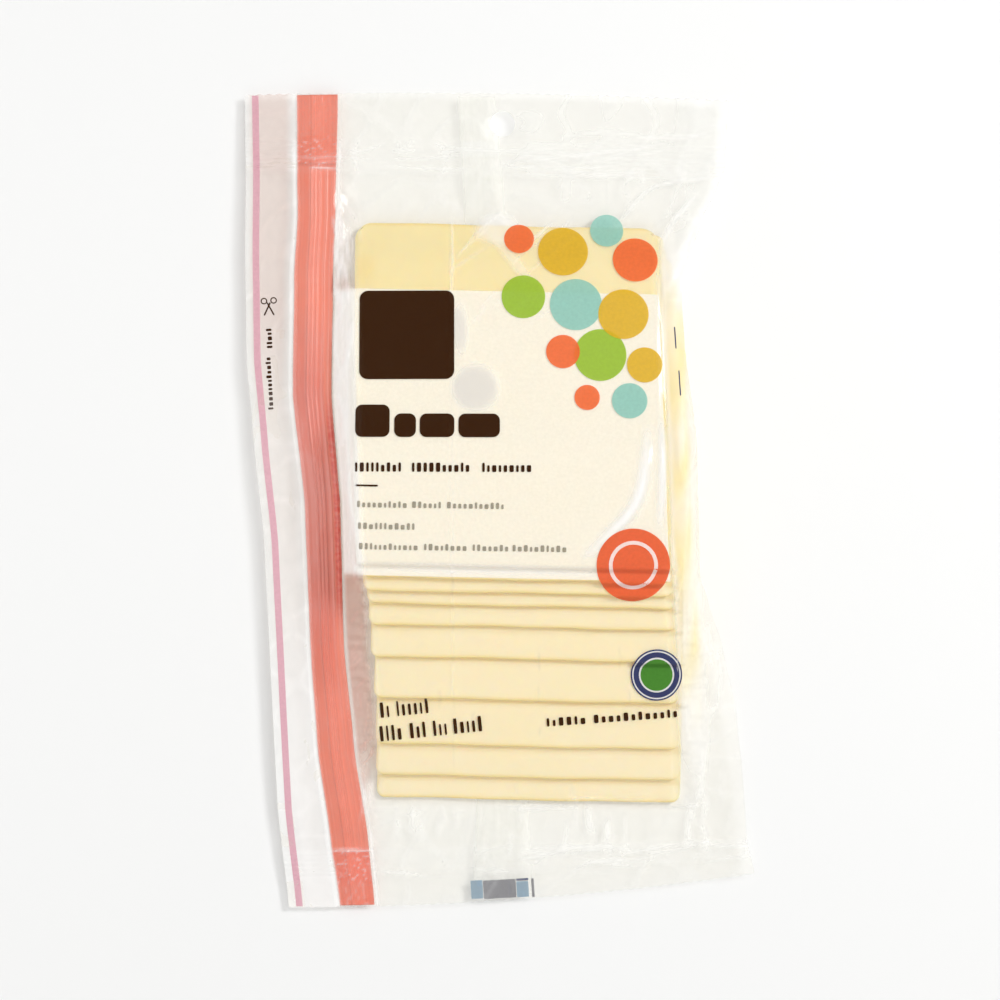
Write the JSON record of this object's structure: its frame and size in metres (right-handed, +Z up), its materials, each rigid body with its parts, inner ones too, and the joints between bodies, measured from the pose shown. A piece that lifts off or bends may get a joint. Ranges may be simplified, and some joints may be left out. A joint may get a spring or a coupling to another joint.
{
  "type": "pack of sliced cheese",
  "caption": "Clear resealable film pack lying flat, with shingled slices of pale cheese, a coral zipper strip down one side, flat ribbed end seals and a round hang hole.",
  "frame": {"origin": "centre of the pack's box seen from above, on the surface that the pack lies on", "axes": "+X to the pack's right, +Y along the pack to its top seal with the hang hole, +Z up out of its front"},
  "size_m": [0.1487, 0.2467, 0.0228],
  "materials": {
    "clear_film": "clear flexible plastic film, glossy, slightly milky where two layers lie together",
    "cheese": "pale moist cheese, satin, softly translucent",
    "zipper_plastic": "coral extruded plastic strip with lengthwise tracks, seen through the film",
    "tear_line": "pink line printed along the film's left edge",
    "ink_white": "thin translucent white printed ink, satin",
    "ink_brown": "opaque dark brown printed ink, satin",
    "ink_coral": "translucent coral printed ink, satin",
    "ink_mustard": "translucent mustard printed ink, satin",
    "ink_teal": "translucent pale teal printed ink, satin",
    "ink_green": "translucent leaf green printed ink, satin",
    "ink_navy": "opaque navy printed ink, satin",
    "ink_grey_blue": "grey blue ink printed on the back film, satin"
  },
  "bodies": {
    "root": {"bag": "clear_film", "zipper": "zipper_plastic"}
  },
  "joints": []
}
